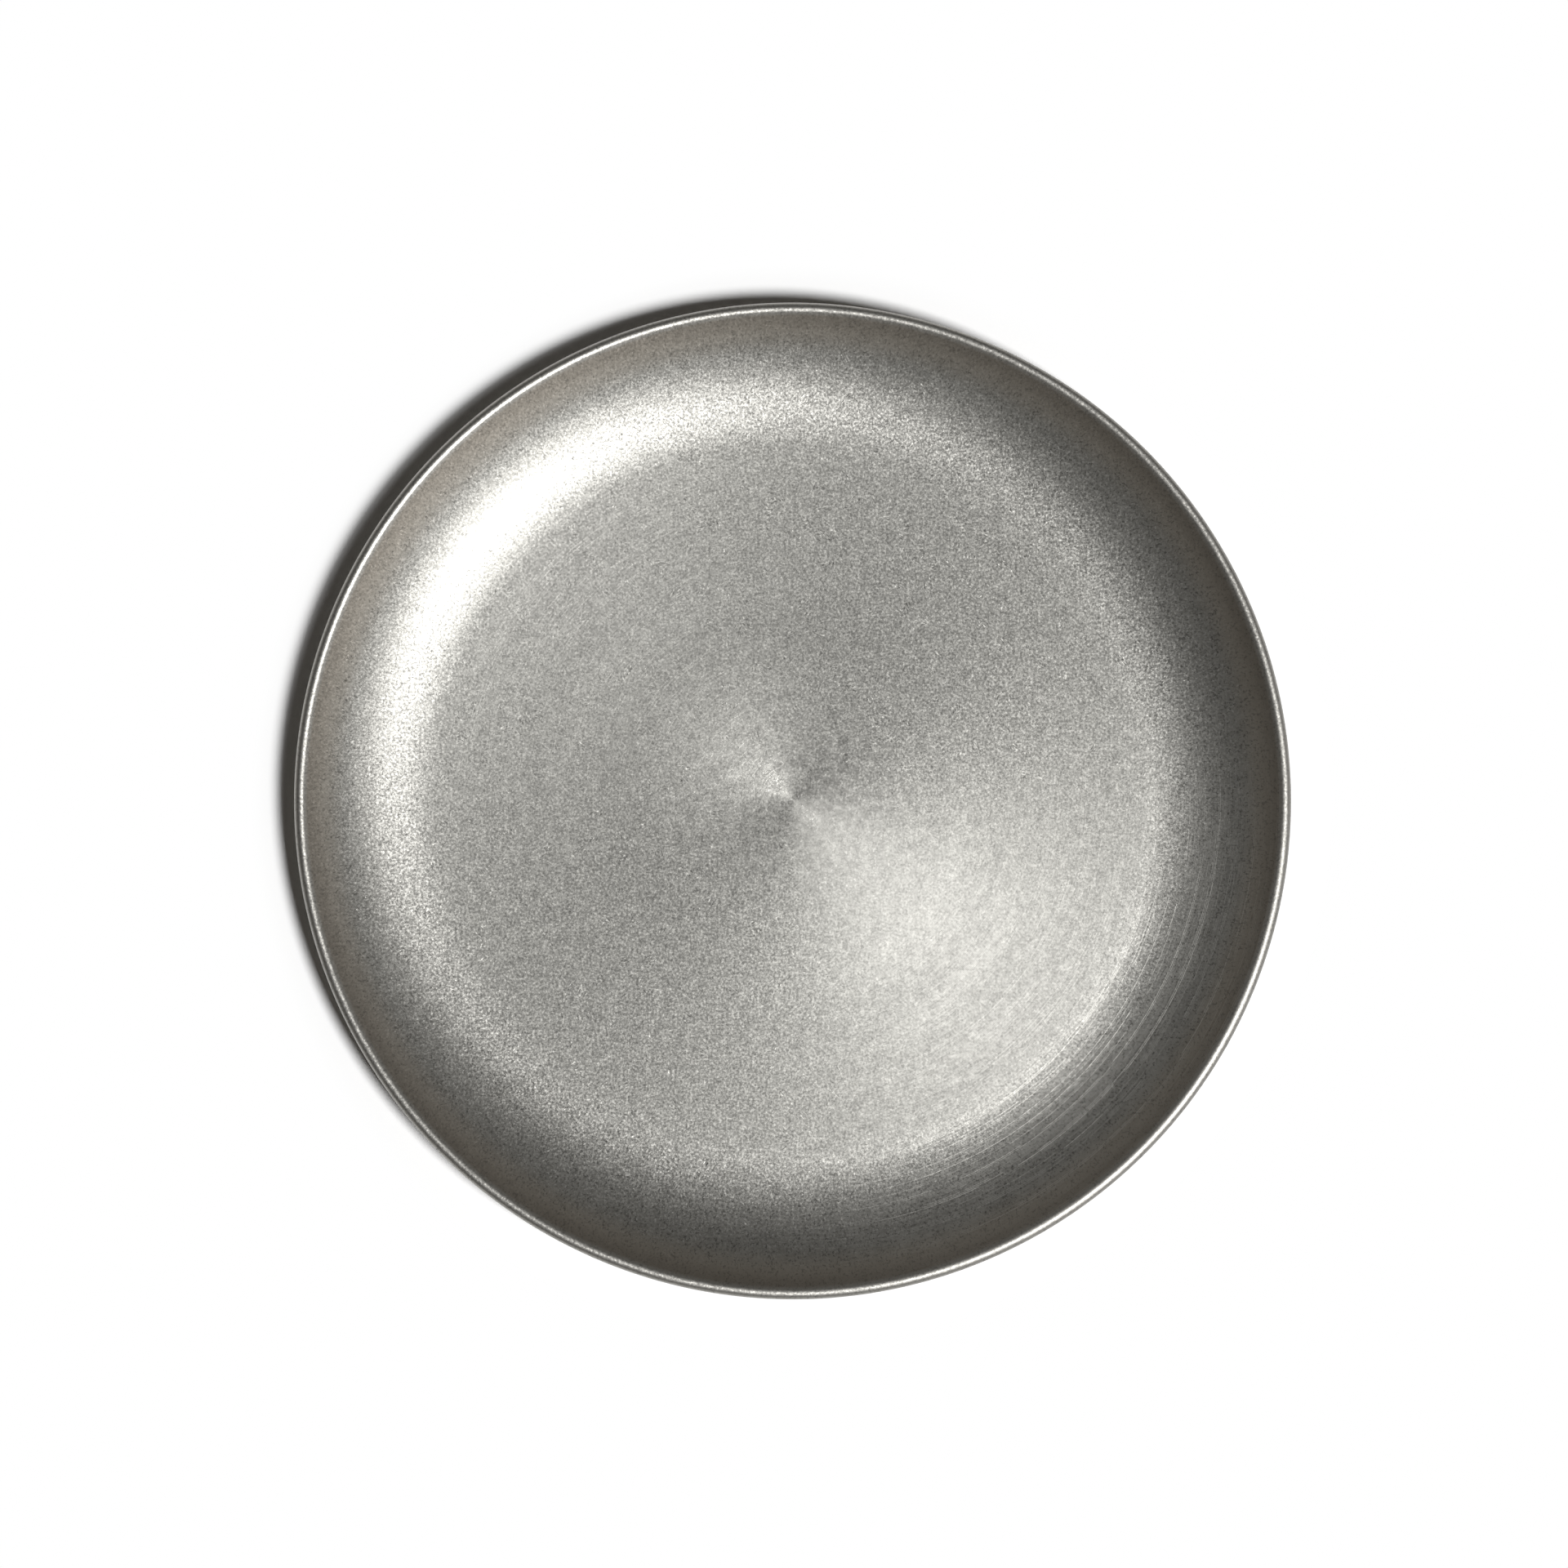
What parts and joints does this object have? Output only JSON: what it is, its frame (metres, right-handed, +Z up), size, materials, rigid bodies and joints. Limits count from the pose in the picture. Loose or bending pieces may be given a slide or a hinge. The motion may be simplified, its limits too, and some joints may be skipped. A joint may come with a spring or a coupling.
{
  "type": "charger plate",
  "caption": "Shallow round charger plate of pressed steel with a low flared wall and a rolled, wired rim, laid under a dinner plate.",
  "frame": {"origin": "centre of the plate in the plane that it rests on", "axes": "+Z up out of the well along the plate's axis, +X to the right and +Y to the top of a view from above"},
  "size_m": [0.305, 0.305, 0.019],
  "materials": {
    "stonewashed_steel": "stonewashed satin steel with short random scratches over fine concentric spin marks",
    "plain_wire": "plain drawn wire"
  },
  "bodies": {
    "root": {"plate_body": "stonewashed_steel", "rim_wire": "plain_wire"}
  },
  "joints": []
}
